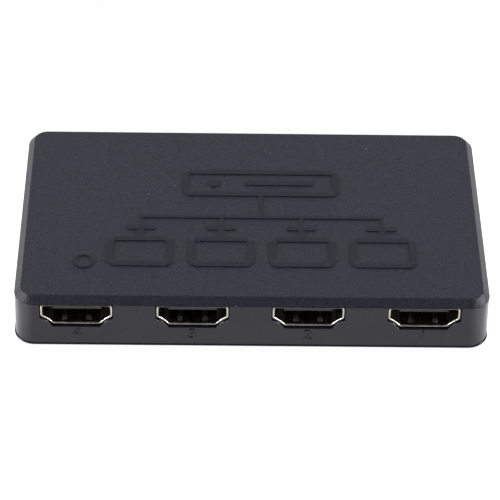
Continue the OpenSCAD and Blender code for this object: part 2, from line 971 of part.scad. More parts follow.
// Drawing

top_cover();
bottom_tray();
circuit_board();
board_screws();
for (i = [1:output_count]) {
  at_output(i) socket_shell();
  at_output(i) socket_insulator();
  at_output(i) socket_contacts();
}
at_input() socket_shell();  // input_shell
at_input() socket_insulator();  // input_insulator
at_input() socket_contacts();  // input_contacts
at_jack() jack_housing();
at_jack() jack_pin();
at_jack() jack_leaf();
at_jack() jack_terminal();
light_pipe();
power_led();
splitter_chip();
splitter_chip_leads();
memory_chip();
memory_chip_leads();
regulators();
regulator_leads();
surge_arrays();
power_coil();
crystal();
capacitor_cans();
capacitor_bases();
chip_capacitors();
chip_resistors();
chip_end_caps();
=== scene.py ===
# Four-way video splitter box: finishes, small trim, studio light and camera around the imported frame
import math
import bmesh
import bpy
from mathutils import Matrix, Vector


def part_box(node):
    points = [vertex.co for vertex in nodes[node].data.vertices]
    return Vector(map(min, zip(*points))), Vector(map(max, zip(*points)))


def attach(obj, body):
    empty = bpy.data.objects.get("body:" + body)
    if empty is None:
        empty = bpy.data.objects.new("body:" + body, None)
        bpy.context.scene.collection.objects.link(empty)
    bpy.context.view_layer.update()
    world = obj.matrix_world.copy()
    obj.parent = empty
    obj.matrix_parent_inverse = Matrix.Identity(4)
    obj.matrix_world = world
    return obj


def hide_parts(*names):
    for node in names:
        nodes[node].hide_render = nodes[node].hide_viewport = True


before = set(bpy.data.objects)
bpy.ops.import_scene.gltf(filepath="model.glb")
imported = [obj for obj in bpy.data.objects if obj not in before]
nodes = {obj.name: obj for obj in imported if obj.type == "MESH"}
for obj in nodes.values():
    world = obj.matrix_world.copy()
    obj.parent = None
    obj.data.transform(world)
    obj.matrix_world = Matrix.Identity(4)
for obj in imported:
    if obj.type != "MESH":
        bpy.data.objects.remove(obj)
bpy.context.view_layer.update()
scene = bpy.context.scene
mm = 0.001  # meshes are modelled in millimetres and scaled once, when finished
hair = 0.01  # an edge or face this near a plane lies on it, mm
sockets = ["output_1", "output_2", "output_3", "output_4", "input"]
print("frame loaded:", len(nodes), "nodes")


def boxMm(node):
    low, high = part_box(node)
    return low / mm, high / mm


# Node and material helpers
noiseRange = {"From Min": 0.3, "From Max": 0.7}  # most values of a noise texture lie between these


def linear(hexColour):
    channels = [int(hexColour[i:i + 2], 16) / 255 for i in (1, 3, 5)]
    return [c / 12.92 if c <= 0.04045 else ((c + 0.055) / 1.055) ** 2.4 for c in channels] + [1.0]


def perMetre(sizeMm):
    return 1 / (sizeMm * mm)  # texture scale for a pattern of that size


def addNode(tree, kind, inputs=None, **settings):
    node = tree.nodes.new(kind)
    for name, value in settings.items():
        setattr(node, name, value)
    for name, value in (inputs or {}).items():
        if isinstance(value, bpy.types.NodeSocket):
            tree.links.new(value, node.inputs[name])
        else:
            node.inputs[name].default_value = value
    return node


def startMaterial(name, colour, roughness, settings):
    material = bpy.data.materials.new(name)
    material.use_nodes = True
    tree = material.node_tree
    shader = tree.nodes["Principled BSDF"]
    shader.inputs["Base Color"].default_value = linear(colour)
    shader.inputs["Roughness"].default_value = roughness
    for socket, value in settings.items():
        shader.inputs[socket].default_value = value
    place = addNode(tree, "ShaderNodeTexCoord").outputs["Object"]
    return material, tree, shader, place


# A pattern tints the surface between two stops, a pattern varies its gloss, and a pattern gives it height
def finishSurface(tree, shader, tint, gloss, height):
    ramp = addNode(tree, "ShaderNodeValToRGB", {"Fac": tint[0].outputs["Fac"]})
    for stop, (position, colour) in zip(ramp.color_ramp.elements, tint[1:]):
        stop.position = position
        stop.color = linear(colour)
    shine = addNode(tree, "ShaderNodeMapRange", {
        "Value": gloss[0].outputs["Fac"], **noiseRange, "To Min": gloss[1], "To Max": gloss[2]})
    bump = addNode(tree, "ShaderNodeBump", {
        "Height": height[0].outputs["Fac"], "Distance": height[1] * mm, "Strength": 1.0})
    tree.links.new(ramp.outputs["Color"], shader.inputs["Base Color"])
    tree.links.new(shine.outputs["Result"], shader.inputs["Roughness"])
    tree.links.new(bump.outputs["Normal"], shader.inputs["Normal"])
    return ramp.outputs["Color"]


# Spark-eroded ABS: dark and dull, and each pebble of the mould's grain catches a little light.
# The real grain is about 0.1 mm wide, too fine to show, so it is drawn more than twice as coarse.
def sparkErodedAbs():
    look = {"dark": "#08070d", "light": "#32313f", "roughness": 0.4, "sheen": (0.32, 0.44),
            "pebble": 0.27, "fine": 0.2, "height": 0.12, "lint": "#77777c", "lintStep": 6.0, "lintR": 0.15}
    material, tree, shader, place = startMaterial(
        "sparkErodedAbs", look["dark"], look["roughness"], {"IOR": 1.45})
    pebbles = addNode(tree, "ShaderNodeTexNoise", {
        "Vector": place, "Scale": perMetre(look["pebble"]), "Detail": 2.0, "Roughness": 0.6})
    fine = addNode(tree, "ShaderNodeTexNoise", {
        "Vector": place, "Scale": perMetre(look["fine"]), "Detail": 1.0})
    tint = finishSurface(tree, shader, (pebbles, (0.3, look["dark"]), (0.7, look["light"])),
                         (fine, *look["sheen"]), (pebbles, look["height"]))

    # a pale speck of lint here and there
    lint = addNode(tree, "ShaderNodeTexVoronoi", {"Vector": place, "Scale": perMetre(look["lintStep"])})
    speck = addNode(tree, "ShaderNodeMath", {
        0: lint.outputs["Distance"], 1: look["lintR"] / look["lintStep"]}, operation="LESS_THAN")
    dusted = addNode(tree, "ShaderNodeMix", {
        "Factor": speck.outputs[0], 6: tint, 7: linear(look["lint"])}, data_type="RGBA")
    tree.links.new(dusted.outputs[2], shader.inputs["Base Color"])
    return material


# Moulded ABS from a polished tool: smooth and satin, with a faint unevenness where the plastic flowed
def satinAbs(name, dark, light, sheen):
    look = {"flow": 7.0, "peel": 0.9, "peelHeight": 0.0016}
    material, tree, shader, place = startMaterial(name, dark, sheen[0], {"IOR": 1.5})
    flow = addNode(tree, "ShaderNodeTexNoise", {
        "Vector": place, "Scale": perMetre(look["flow"]), "Detail": 3.0})
    peel = addNode(tree, "ShaderNodeTexNoise", {
        "Vector": place, "Scale": perMetre(look["peel"]), "Detail": 2.0})
    finishSurface(tree, shader, (flow, (0.35, dark), (0.65, light)), (peel, *sheen), (peel, look["peelHeight"]))
    return material


# Plated or plain metal: lines left by drawing or brushing run along one axis and spread its highlights.
# Real lines are some hundredths of a millimetre wide, too fine to show, so they are drawn coarser.
def drawnMetal(name, dark, light, sheen, lineMm, stretch):
    look = {"stain": 12, "depth": 0.004}  # width of a stain and depth of a line, in widths of a line
    material, tree, shader, place = startMaterial(name, light, sheen[0], {"Metallic": 1.0})
    along = addNode(tree, "ShaderNodeMapping", {"Vector": place, "Scale": stretch})
    lines = addNode(tree, "ShaderNodeTexNoise", {
        "Vector": along.outputs["Vector"], "Scale": perMetre(lineMm), "Detail": 3.0})
    stain = addNode(tree, "ShaderNodeTexNoise", {
        "Vector": place, "Scale": perMetre(lineMm * look["stain"]), "Detail": 2.0})
    finishSurface(tree, shader, (stain, (0.3, dark), (0.6, light)), (lines, *sheen),
                  (lines, lineMm * look["depth"]))
    return material


# Filled plastics, ceramics, lacquers and inks: matt or satin, with faint specks of filler.
# Real filler is too fine to show, so it is drawn coarser.
def filledBody(name, dark, light, sheen, speckMm, heightMm):
    material, tree, shader, place = startMaterial(name, dark, sheen[0], {"IOR": 1.5})
    specks = addNode(tree, "ShaderNodeTexNoise", {
        "Vector": place, "Scale": perMetre(speckMm), "Detail": 4.0, "Roughness": 0.65})
    finishSurface(tree, shader, (specks, (0.35, dark), (0.7, light)), (specks, *sheen), (specks, heightMm))
    return material


# Clear acrylic: see-through, with a soft skin from the mould
def clearAcrylic():
    look = {"colour": "#eef3f6", "roughness": 0.06, "skin": 0.8, "sheen": (0.04, 0.14)}
    material, tree, shader, place = startMaterial(
        "clearAcrylic", look["colour"], look["roughness"], {"IOR": 1.49, "Transmission Weight": 1.0})
    skin = addNode(tree, "ShaderNodeTexNoise", {
        "Vector": place, "Scale": perMetre(look["skin"]), "Detail": 2.0})
    gloss = addNode(tree, "ShaderNodeMapRange", {
        "Value": skin.outputs["Fac"], **noiseRange, "To Min": look["sheen"][0], "To Max": look["sheen"][1]})
    tree.links.new(gloss.outputs["Result"], shader.inputs["Roughness"])
    return material


alongY = (1.0, 0.04, 1.0)  # lines are drawn out along the axis that is scaled down
alongZ = (1.0, 1.0, 0.04)
evenly = (1.0, 1.0, 1.0)
coverAbs = sparkErodedAbs()
# near black: the walls hold a soft image of the floor, and the raised marks are a little duller
trayAbs = satinAbs("satinAbs", "#161421", "#1b1828", (0.22, 0.28))
reliefAbs = satinAbs("polishedAbs", "#12121c", "#171722", (0.36, 0.44))
# nickel is pale, warm and bright, gold flash is yellow, and bare bronze is browner and softer
nickelSheet = drawnMetal("nickelPlatedSteel", "#bab3a8", "#dad4ca", (0.14, 0.26), 0.12, alongY)
goldFlash = drawnMetal("goldFlashedBronze", "#b98f42", "#dcb765", (0.2, 0.32), 0.1, alongY)
springBronze = drawnMetal("phosphorBronze", "#a5763f", "#c99a5b", (0.24, 0.36), 0.1, alongY)
# tin and zinc are grey and cloudy, and drawn aluminium is whiter with upright lines
brightTin = drawnMetal("tinPlatedCopper", "#a9a8a4", "#cdccc8", (0.24, 0.4), 0.15, evenly)
zincSteel = drawnMetal("zincPlatedSteel", "#9d9c98", "#c8c7c1", (0.22, 0.36), 0.2, evenly)
drawnCan = drawnMetal("drawnAluminium", "#b4b5b5", "#d6d7d7", (0.2, 0.34), 0.15, alongZ)
# the sockets' polymer is a satin dark grey and the jack's a satin black; epoxy and ferrite are matt
filledPolymer = filledBody("glassFilledPolymer", "#303136", "#3c3d43", (0.3, 0.4), 0.25, 0.002)
jackPolymer = filledBody("mouldedNylon", "#101011", "#19191b", (0.36, 0.48), 0.4, 0.002)
chipEpoxy = filledBody("mouldedEpoxy", "#171718", "#262628", (0.5, 0.64), 0.12, 0.004)
sinteredFerrite = filledBody("sinteredFerrite", "#333335", "#474749", (0.55, 0.7), 0.2, 0.006)
# ceramic is tan and eggshell smooth, and the lamp's resin is a glossy cream
firedCeramic = filledBody("firedCeramic", "#8a6a45", "#a98559", (0.4, 0.55), 0.15, 0.003)
lampResin = filledBody("lampResin", "#d8cfa6", "#ece5c6", (0.24, 0.34), 0.5, 0.002)
# solder mask is a glossy green lacquer, lighter where copper lies under it; legend inks are flat
maskedBoard = filledBody("solderMaskOverLaminate", "#0b3d24", "#0f4a2c", (0.26, 0.36), 0.6, 0.003)
maskedCopper = filledBody("solderMaskOverCopper", "#1c6b41", "#237a4b", (0.24, 0.34), 0.6, 0.003)
printedInk = filledBody("whiteLegendInk", "#d3d3cb", "#e6e6df", (0.55, 0.7), 0.2, 0.004)
blackInk = filledBody("blackLegendInk", "#151516", "#202022", (0.5, 0.6), 0.3, 0.003)
pipeAcrylic = clearAcrylic()
print("materials made:", len(bpy.data.materials))


# Mesh helpers, all in millimetres and degrees
meshing = {"merge": 0.002, "textMerge": 0.001, "flatUnder": 0.6, "edgeOver": 24, "sharpOver": 32}


def cadCopy(node):
    bm = bmesh.new()
    bm.from_mesh(nodes[node].data)
    bmesh.ops.scale(bm, vec=(1 / mm,) * 3, verts=bm.verts)
    bmesh.ops.remove_doubles(bm, verts=bm.verts, dist=meshing["merge"])
    bmesh.ops.dissolve_limit(bm, angle_limit=math.radians(meshing["flatUnder"]), verts=bm.verts, edges=bm.edges)
    return bm


def ease(bm, geom, width, segments, affect="EDGES", clamp=False):
    return bmesh.ops.bevel(bm, geom=geom, offset=width, offset_type="OFFSET", affect=affect, segments=segments,
                           profile=0.5, material=-1, clamp_overlap=clamp)


def soften(bm, width, segments, chosen):
    least = math.radians(meshing["edgeOver"])
    edges = [e for e in bm.edges if len(e.link_faces) == 2 and e.calc_face_angle(0) > least
             and chosen((e.verts[0].co + e.verts[1].co) / 2)]
    ease(bm, edges, width, segments)


def vertsIn(geom):
    return [g for g in geom if isinstance(g, bmesh.types.BMVert)]


def curveMesh(curve):
    holder = bpy.data.objects.new(curve.name, curve)
    scene.collection.objects.link(holder)
    bpy.context.view_layer.update()
    flat = bpy.data.meshes.new_from_object(holder.evaluated_get(bpy.context.evaluated_depsgraph_get()))
    bpy.data.objects.remove(holder)
    bpy.data.curves.remove(curve)
    bm = bmesh.new()
    bm.from_mesh(flat)
    bpy.data.meshes.remove(flat)
    bmesh.ops.remove_doubles(bm, verts=bm.verts, dist=meshing["textMerge"])
    return bm


def finishPiece(bm, name, material, body, replaced=(), smooth=True):
    bmesh.ops.scale(bm, vec=(mm,) * 3, verts=bm.verts)
    mesh = bpy.data.meshes.new(name)
    bm.to_mesh(mesh)
    bm.free()
    mesh.polygons.foreach_set("use_smooth", [smooth] * len(mesh.polygons))
    mesh.set_sharp_from_angle(angle=math.radians(meshing["sharpOver"]))
    mesh.materials.append(material)
    piece = bpy.data.objects.new(name, mesh)
    scene.collection.objects.link(piece)
    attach(piece, body)
    if replaced:
        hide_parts(*replaced)
    return piece


def evenNormals(piece):
    even = piece.modifiers.new("faceNormals", "WEIGHTED_NORMAL")  # keeps large flats flat beside eased edges
    even.keep_sharp = True


def giveFinish(node, material):
    nodes[node].data.materials.clear()
    nodes[node].data.materials.append(material)


# Case: the CAD cover and tray with their outer edges eased
coverLook = {"corner": 4.0, "over": 0.12, "topEase": 0.16, "footEase": 0.08, "footUnder": 0.5}
trayLook = {"lean": 0.25, "lip": 0.2, "lipTop": 0.4, "lipEase": 0.17, "notchEase": 0.08, "notchReach": 8.2,
            "holeEase": 0.1, "openFrom": 1.0}
onSkin = 0.03  # an edge this near an outline lies on it
coverHigh = boxMm("top_cover")[1]
rimZ = boxMm("bottom_tray")[1].z
halfW, halfD = coverHigh.x - coverLook["over"], coverHigh.y - coverLook["over"]
mouths = {}  # middle of each mouth, its outer face, and the way in along Y
for name in sockets:
    low, high = boxMm(name + "_shell")
    mouths[name] = ((low.x + high.x) / 2, high.y, -1) if name == "input" else ((low.x + high.x) / 2, low.y, 1)


def onOutline(co, out):
    across = max(abs(co.x) - (halfW - coverLook["corner"]), 0)
    along = max(abs(co.y) - (halfD - coverLook["corner"]), 0)
    return abs(math.hypot(across, along) - coverLook["corner"] - out) < onSkin


def wallOut(z):
    return trayLook["lean"] * (1 - z / rimZ)


def onOpening(co):
    return co.z > trayLook["openFrom"] and onOutline(co, wallOut(co.z))


def onNotch(co):
    near = any(abs(co.x - x) < trayLook["notchReach"] and co.y * facing < 0 for x, y, facing in mouths.values())
    return near and co.z < rimZ - hair and onOpening(co)


def onCoverFoot(co):
    return co.z < coverHigh.z - coverLook["footUnder"] and onOutline(co, coverLook["over"])


def onTrayLip(co):
    return co.z < trayLook["lipTop"] + hair and onOutline(co, trayLook["lean"] + trayLook["lip"])


bm = cadCopy("top_cover")
soften(bm, coverLook["topEase"], 3, lambda co: co.z > coverHigh.z - hair)
soften(bm, coverLook["footEase"], 2, onCoverFoot)
evenNormals(finishPiece(bm, "coverMoulding", coverAbs, "cover", ["top_cover"]))

bm = cadCopy("bottom_tray")
soften(bm, trayLook["notchEase"], 4, onNotch)
soften(bm, trayLook["holeEase"], 2, onOpening)
soften(bm, trayLook["lipEase"], 3, onTrayLip)
evenNormals(finishPiece(bm, "trayMoulding", trayAbs, "base", ["bottom_tray"]))
print("case made")


# Socket shells: folded sheet with a flared lip, a seam and four sprung fingers
shellLook = {
    "mouthW": 14.0, "mouthH": 4.55, "footW": 9.5, "kinkW": 11.6, "kinkZ": 1.05, "shoulderZ": 1.95,
    "sheet": 0.3, "length": 11.65, "foldEase": 0.5, "kinkEase": 0.2, "leastFold": 6.0,
    "flare": 0.15, "flareL": 0.4, "topLean": 0.42,
    "lipRoll": 0.2, "lipEase": 0.05, "sideEase": 0.13, "lipSteps": 3,
    "seam": 0.06, "seamTurn": 0.1, "seamReach": 0.22,
    "fingerW": 1.1, "fingerSlot": 0.25, "lowerFingerX": 2.5, "upperFingerX": 3.4,
    # how far a finger bows into the mouth, by the distance from the lip
    "fingerBow": ((0.85, 0.0), (1.25, 0.115), (1.65, 0.265), (2.0, 0.42), (2.3, 0.5), (2.7, 0.46), (3.6, 0.26),
                  (5.4, 0.0)),
    "legW": 1.2, "legPlaces": (3.6, 9.0), "legTop": 2.55, "legPoint": 0.6,
}
insulatorLook = {"tipEase": 0.05}
legX = (shellLook["mouthW"] + shellLook["sheet"]) / 2


def cutAcross(bm, place, direction):
    bmesh.ops.bisect_plane(bm, geom=bm.verts[:] + bm.edges[:] + bm.faces[:], dist=0.0001,
                           plane_co=place, plane_no=direction)


def foldedSheet():
    s = shellLook
    corners = [(s["footW"] / 2, 0), (s["kinkW"] / 2, s["kinkZ"]), (s["mouthW"] / 2, s["shoulderZ"]),
               (s["mouthW"] / 2, s["mouthH"])]
    outline = corners + [(-x, z) for x, z in reversed(corners)]
    bm = bmesh.new()
    mouth = bm.faces.new([bm.verts.new((x, 0, z)) for x, z in outline])
    grown = bmesh.ops.extrude_face_region(bm, geom=[mouth])["geom"]
    bmesh.ops.translate(bm, vec=(0, s["length"], 0), verts=vertsIn(grown))
    ends = [f for f in bm.faces if len(f.verts) == len(outline)]
    bmesh.ops.delete(bm, geom=ends, context="FACES_ONLY")
    for width, isKink in ((s["kinkEase"], True), (s["foldEase"], False)):
        folds = [e for e in bm.edges if abs(e.verts[0].co.y - e.verts[1].co.y) > s["length"] / 2
                 and e.calc_face_angle(0) > math.radians(s["leastFold"])
                 and (hair < e.verts[0].co.z < s["mouthH"] - s["foldEase"]) == isKink]
        ease(bm, folds, width, 4)
    bmesh.ops.recalc_face_normals(bm, faces=bm.faces)
    return bm


def bowFingers(bm):
    s = shellLook
    fingers = [(side * s["lowerFingerX"], 0.0, 1.0) for side in (-1, 1)]
    fingers += [(side * s["upperFingerX"], s["mouthH"], -1.0) for side in (-1, 1)]
    slot, half = s["fingerSlot"], s["fingerW"] / 2
    tipY, rootY = s["fingerBow"][0][0], s["fingerBow"][-1][0]
    for x in sorted({x + d for x, z, inward in fingers for d in (-half - slot, -half, half, half + slot)}):
        cutAcross(bm, (x, 0, 0), (1, 0, 0))
    for y in [s["flareL"], tipY - slot] + [y for y, bow in s["fingerBow"]]:
        cutAcross(bm, (0, y, 0), (0, 1, 0))
    for x in (s["seam"] / 2, s["seam"] / 2 + s["seamReach"]):
        cutAcross(bm, (x, 0, 0), (1, 0, 0))
        cutAcross(bm, (-x, 0, 0), (1, 0, 0))
    gone, bowed = [], {}
    for face in bm.faces:
        mid = face.calc_center_median()
        if abs(mid.x) < s["seam"] / 2 and mid.z < hair:
            gone.append(face)
        for x, z, inward in fingers:
            if abs(mid.z - z) > hair or abs(mid.x - x) > half + slot or not tipY - slot < mid.y < rootY:
                continue
            if abs(mid.x - x) > half or mid.y < tipY:
                gone.append(face)
            else:
                bowed.update({v: inward for v in face.verts})
    for vert, inward in bowed.items():
        vert.co.z += inward * min(s["fingerBow"], key=lambda step: abs(step[0] - vert.co.y))[1]
    bmesh.ops.delete(bm, geom=gone, context="FACES")


def socketShell(legDepth):
    s = shellLook
    bm = foldedSheet()
    bowFingers(bm)
    inside = {tuple(round(c, 3) for c in v.co) for v in bm.verts}
    bmesh.ops.solidify(bm, geom=bm.faces[:], thickness=-s["sheet"])
    bmesh.ops.recalc_face_normals(bm, faces=bm.faces)
    bm.normal_update()
    lip = [v for v in bm.verts if abs(v.co.y) < hair]
    outer = {v for v in lip if tuple(round(c, 3) for c in v.co) not in inside}
    outward = {v: Vector((v.normal.x, 0, v.normal.z)).normalized() * (1 if v in outer else -1) for v in lip}

    # flared lip: leant back along the top, rolled in along the bottom, eased outside at the sides
    weight = bm.edges.layers.float.new("bevel_weight_edge")
    for edge in {e for v in lip for e in v.link_edges if e.other_vert(v) in outward}:
        if (edge.verts[0] in outer) == (edge.verts[1] in outer):
            isOuter = edge.verts[0] in outer
            below = 0 if isOuter else max(-min(outward[v].z for v in edge.verts), 0)
            beside = min(abs(outward[v].x) for v in edge.verts) if isOuter else 0
            width = s["lipEase"] + (s["sideEase"] - s["lipEase"]) * beside
            edge[weight] = width / s["lipRoll"] * (1 - below) + below
    for vert in lip:
        if abs(vert.co.x) < s["seam"] and vert.co.z < hair:
            vert.co.z += s["seamTurn"]  # the two edges of the sheet turn in a little where they meet
    for vert in outer:
        vert.co += outward[vert] * s["flare"]
        vert.co.y += s["topLean"] * max(outward[vert].z, 0)

    # solder legs, pointed at the end
    tall = s["legTop"] + legDepth
    for side in (-1, 1):
        for y in s["legPlaces"]:
            leg = bmesh.ops.create_cube(bm, size=1)["verts"]
            bmesh.ops.scale(bm, vec=(s["sheet"], s["legW"], tall), verts=leg)
            bmesh.ops.translate(bm, vec=(side * legX, y, s["legTop"] - tall / 2), verts=leg)
            point = [v for v in leg if v.co.z < 0]
            bmesh.ops.scale(bm, vec=(1, s["legPoint"], 1), verts=point, space=Matrix.Translation((0, -y, 0)))
    return bm


for name, (x, y, facing) in mouths.items():
    low, high = boxMm(name + "_shell")
    mouthZ = high.z - shellLook["sheet"] - shellLook["flare"] - shellLook["mouthH"]
    bm = socketShell(mouthZ - low.z)
    turn = Matrix.Rotation(0 if facing > 0 else math.pi, 4, "Z")
    bmesh.ops.transform(bm, matrix=Matrix.Translation((x, y, mouthZ)) @ turn, verts=bm.verts)
    plain = name.replace("_", "")
    shell = finishPiece(bm, plain + "ShellFolded", nickelSheet, "base", [name + "_shell"])
    rolled = shell.modifiers.new("rolledLip", "BEVEL")
    rolled.limit_method = "WEIGHT"
    rolled.width = shellLook["lipRoll"] * mm
    rolled.segments = shellLook["lipSteps"]
    evenNormals(shell)

    bm = cadCopy(name + "_insulator")
    tipY = min(v.co.y * facing for v in bm.verts)
    soften(bm, insulatorLook["tipEase"], 2, lambda co: abs(co.y * facing - tipY) < hair)
    evenNormals(finishPiece(bm, plain + "InsulatorMoulded", filledPolymer, "base",
                            [name + "_insulator"]))
    giveFinish(name + "_contacts", goldFlash)
print("sockets made")


# Raised numerals under the outputs, counted from the right
numeralLook = {"size": 3.7, "height": 0.18, "edge": 0.03, "middleZ": 3.05}


def raisedNumeral(digit, x):
    curve = bpy.data.curves.new("numeral" + digit, "FONT")
    curve.body = digit
    curve.align_x = "CENTER"
    curve.align_y = "CENTER"
    curve.size = numeralLook["size"]
    curve.extrude = numeralLook["height"]
    curve.bevel_depth = numeralLook["edge"]
    curve.bevel_resolution = 1
    bm = curveMesh(curve)
    z = numeralLook["middleZ"]
    upright = Matrix.Rotation(math.pi / 2 - math.atan(trayLook["lean"] / rimZ), 4, "X")
    bmesh.ops.transform(bm, matrix=Matrix.Translation((x, -halfD - wallOut(z), z)) @ upright, verts=bm.verts)
    evenNormals(finishPiece(bm, "wallNumeral" + digit, reliefAbs, "base"))


for number in (1, 2, 3, 4):
    raisedNumeral(str(number), mouths["output_%d" % number][0])
print("numerals made")


# Raised sign on the cover: one player feeding four screens, read from the input side
signLook = {
    "height": 0.2, "low": 0.16, "lowest": 0.14, "sink": 0.05, "edge": 0.05, "stroke": 1.5, "thin": 0.9,
    "round": 2.0, "barRound": 0.6, "busRound": 0.3, "joinRound": 0.1, "roundSteps": 6, "discSteps": 40,
    "screenX": (-23.5, -6.5, 10.5, 27.5), "screenW": 14.0, "screenD": 9.4, "screenTop": -17.7,
    "standW": 1.6, "footW": 6.4, "footY": -5.4, "busY": -1.9,
    "playerX": 2.0, "playerY": 9.4, "playerW": 34.0, "playerD": 8.8,
    "slotX": 6.0, "slotW": 15.0, "buttonX": -8.0, "buttonR": 1.3, "ringX": -35.1, "ringY": -16.1, "ringR": 2.35,
}


def raiseFace(bm, face, stroke, height):
    faces = [face]
    if stroke:
        faces = bmesh.ops.inset_region(bm, faces=[face], thickness=stroke, use_boundary=True,
                                       use_even_offset=True)["faces"]
        bmesh.ops.delete(bm, geom=[face], context="FACES_ONLY")
    raised = bmesh.ops.extrude_face_region(bm, geom=faces)["geom"]
    top = {g for g in raised if isinstance(g, bmesh.types.BMFace)}
    bmesh.ops.translate(bm, vec=(0, 0, height + signLook["sink"]), verts=vertsIn(raised))
    brink = {e for f in top for e in f.edges if any(n not in top for n in e.link_faces)}
    ease(bm, list(brink), signLook["edge"], 2)


def raisedPad(bm, x, y, w, d, corner, stroke=0, height=signLook["height"]):
    flat = bmesh.ops.create_grid(bm, x_segments=1, y_segments=1, size=0.5)["verts"]
    bmesh.ops.scale(bm, vec=(w, d, 1), verts=flat)
    bmesh.ops.translate(bm, vec=(x, y, coverHigh.z - signLook["sink"]), verts=flat)
    eased = ease(bm, flat, corner, signLook["roundSteps"], affect="VERTICES")
    raiseFace(bm, eased["verts"][0].link_faces[0], stroke, height)


def raisedDisc(bm, x, y, radius, stroke=0):
    flat = bmesh.ops.create_circle(bm, cap_ends=True, segments=signLook["discSteps"], radius=radius)["verts"]
    bmesh.ops.translate(bm, vec=(x, y, coverHigh.z - signLook["sink"]), verts=flat)
    raiseFace(bm, flat[0].link_faces[0], stroke, signLook["height"])


def coverSign():
    s = signLook
    bm = bmesh.new()

    def upright(x, fromY, toY, w, height):
        raisedPad(bm, x, (fromY + toY) / 2, w, toY - fromY, s["joinRound"], height=height)

    # bars that meet lap each other, the thinner one lower so that no two tops share a plane
    lap = s["stroke"] / 2
    screenLow = s["screenTop"] + s["screenD"]
    for x in s["screenX"]:
        raisedPad(bm, x, s["screenTop"] + s["screenD"] / 2, s["screenW"], s["screenD"], s["round"], s["stroke"])
        upright(x, screenLow - lap, s["footY"], s["standW"], s["low"])
        raisedPad(bm, x, s["footY"], s["footW"], s["stroke"], s["barRound"])
        upright(x, s["footY"], s["busY"], s["thin"], s["lowest"])
    first, last = s["screenX"][0], s["screenX"][-1]
    raisedPad(bm, (first + last) / 2, s["busY"], last - first + s["thin"], s["thin"], s["busRound"])
    upright(s["playerX"], s["busY"], s["playerY"] - s["playerD"] / 2 + lap, s["thin"], s["low"])
    raisedPad(bm, s["playerX"], s["playerY"], s["playerW"], s["playerD"], s["round"], s["stroke"])
    raisedPad(bm, s["slotX"], s["playerY"], s["slotW"], s["stroke"], s["barRound"])
    raisedDisc(bm, s["buttonX"], s["playerY"], s["buttonR"])
    raisedDisc(bm, s["ringX"], s["ringY"], s["ringR"], s["thin"])
    bmesh.ops.recalc_face_normals(bm, faces=bm.faces)
    evenNormals(finishPiece(bm, "coverSign", reliefAbs, "cover"))


coverSign()
print("cover sign made")


# Small parts with their moulded, drawn or turned edges eased: width, and whether only the top is eased
easedParts = {
    "splitter_chip": (chipEpoxy, 0.1, False), "memory_chip": (chipEpoxy, 0.1, False),
    "regulators": (chipEpoxy, 0.1, False), "power_coil": (sinteredFerrite, 0.07, False),
    "crystal": (drawnCan, 0.3, True), "capacitor_cans": (drawnCan, 0.08, True),
    "jack_housing": (jackPolymer, 0.1, False), "power_led": (lampResin, 0.12, False),
    "light_pipe": (pipeAcrylic, 0.1, False),
}
for name, (material, width, topOnly) in easedParts.items():
    bm = cadCopy(name)
    low, high = boxMm(name)
    fromZ = high.z - hair if topOnly else low.z - hair
    soften(bm, width, 3, lambda co: co.z > fromZ)
    piece = "".join(word.capitalize() for word in name.split("_"))
    evenNormals(finishPiece(bm, piece[0].lower() + piece[1:] + "Eased", material, "base", [name]))

# Printed half moons on the capacitor cans
canLook = {"markR": 2.05, "markFrom": 0.75, "markSteps": 40, "ink": 0.02}
bm = bmesh.new()
low, high = boxMm("capacitor_cans")
canR = (high.x - low.x) / 2
for y in (low.y + canR, high.y - canR):
    disc = bmesh.ops.create_circle(bm, cap_ends=True, segments=canLook["markSteps"],
                                   radius=canLook["markR"])["verts"]
    rim = list({e for v in disc for e in v.link_edges})
    cut = bmesh.ops.bisect_plane(bm, geom=disc + rim + list(disc[0].link_faces), clear_outer=True,
                                 plane_co=(0, canLook["markFrom"], 0), plane_no=(0, -1, 0))["geom"]
    moon = [g for g in cut if isinstance(g, bmesh.types.BMFace)]
    top = vertsIn(bmesh.ops.extrude_face_region(bm, geom=moon)["geom"])
    bmesh.ops.translate(bm, vec=(0, 0, 2 * canLook["ink"]), verts=top)
    whole = {v for f in moon for v in f.verts} | set(top)
    bmesh.ops.translate(bm, vec=((low.x + high.x) / 2, y, high.z - canLook["ink"]), verts=list(whole))
bmesh.ops.recalc_face_normals(bm, faces=bm.faces)
finishPiece(bm, "canMarks", blackInk, "base", smooth=False)

# Board screws with domed heads
screwLook = {"headR": 1.9, "headEase": 0.4, "brink": 0.1}
bm = cadCopy("board_screws")
low, high = boxMm("board_screws")
screwX, screwY = high.x - screwLook["headR"], (low.y + high.y) / 2
soften(bm, screwLook["headEase"], 4, lambda co: co.z > high.z - hair
       and math.hypot(abs(co.x) - screwX, co.y - screwY) > screwLook["headR"] - screwLook["brink"])
evenNormals(finishPiece(bm, "boardScrewsDomed", zincSteel, "base", ["board_screws"]))
print("small parts eased")


# Board: etched lines, pads, solder and printed legend, laid on the CAD board
boardLook = {
    "copper": 0.03, "ink": 0.04, "sink": 0.02,
    # rows behind each mouth, and the resistors along one of them
    "feetY": 12.8, "surgeY": 14.55, "resistorY": 16.35, "resistorX": (-3.75, -2.25, -0.75, 0.75, 2.25, 3.75),
    # reach of the splitter chip's leads, pitch of the memory's and the regulators', step between two regulators
    "chipFoot": 6.0, "memoryPitch": 1.27, "regulatorPitch": 2.3, "rowStep": 9.0,
}
boardTop = boxMm("circuit_board")[1].z


def partSpot(node):
    low, high = boxMm(node)
    return (low.x + high.x) / 2, (low.y + high.y) / 2, high.x - low.x, high.y - low.y


memoryX, memoryY = partSpot("memory_chip")[:2]
lampX, lampY = partSpot("power_led")[:2]
coilX, powerY = partSpot("power_coil")[:2]
crystalX, powerX, canX = (partSpot(node)[0] for node in ("crystal", "regulators", "capacitor_cans"))


